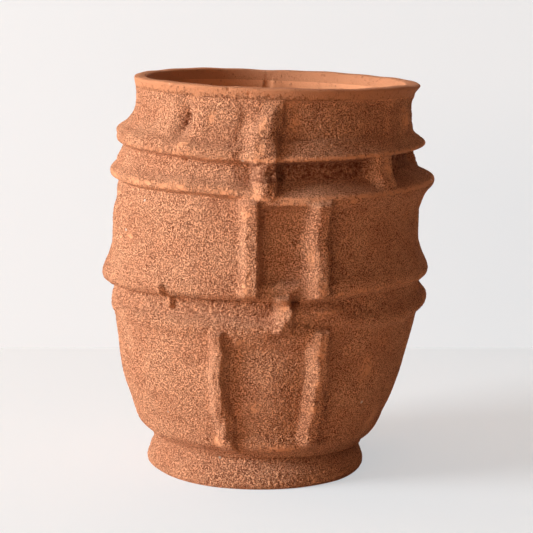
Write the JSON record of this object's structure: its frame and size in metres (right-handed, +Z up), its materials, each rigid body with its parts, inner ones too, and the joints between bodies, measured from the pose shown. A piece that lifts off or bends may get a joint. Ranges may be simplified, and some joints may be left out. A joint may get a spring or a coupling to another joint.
{
  "type": "planter",
  "caption": "Wide-mouthed hand-built terracotta planter with a flared foot, a drain hole, raised shoulder bands and upright clay strips.",
  "frame": {"origin": "middle of the whole vessel's box, on the ground under the foot", "axes": "+Z up through the mouth; -Y is the pictured front, with the strap over both shoulder bands just left of its middle; +X is the pictured right, the side towards which the wall leans and the rim dips"},
  "size_m": [0.3454, 0.3432, 0.406],
  "materials": {
    "rough_clay": "unglazed coarse grogged terracotta, matt and pitted",
    "wiped_clay": "unglazed terracotta wiped smooth by a wet finger",
    "strip_clay": "unglazed terracotta, matt, smoothed along its crest",
    "floor_clay": "unglazed terracotta slab, matt"
  },
  "bodies": {
    "root": {"foot_ring": "rough_clay", "floor_slab": "floor_clay", "bowl_wall": "rough_clay", "waist_coil": "rough_clay", "barrel_wall": "rough_clay", "lower_shoulder_band": "rough_clay", "channel_wall": "rough_clay", "upper_shoulder_band": "rough_clay", "neck_wall": "rough_clay", "rim_coil": "wiped_clay", "bowl_strip_front_left": "strip_clay", "bowl_strip_front_right": "strip_clay", "bowl_strip_right": "strip_clay", "bowl_strip_back_right": "strip_clay", "bowl_strip_back_left": "strip_clay", "bowl_strip_left": "strip_clay", "waist_strip_front": "strip_clay", "waist_strip_right": "strip_clay", "waist_strip_back": "strip_clay", "waist_strip_left": "strip_clay", "barrel_strip_front_left": "strip_clay", "barrel_strip_front_right": "strip_clay", "barrel_strip_right": "strip_clay", "barrel_strip_back_right": "strip_clay", "barrel_strip_back_left": "strip_clay", "barrel_strip_left": "strip_clay", "neck_strip_front_left": "strip_clay", "neck_strip_right": "strip_clay", "neck_strip_back_right": "strip_clay", "neck_strip_left": "strip_clay", "shoulder_strap_front": "strip_clay", "shoulder_strap_back": "strip_clay", "channel_bridge_front_right": "strip_clay", "channel_bridge_right": "strip_clay", "seam_strip_front_left": "strip_clay", "seam_strip_back": "strip_clay"}
  },
  "joints": []
}
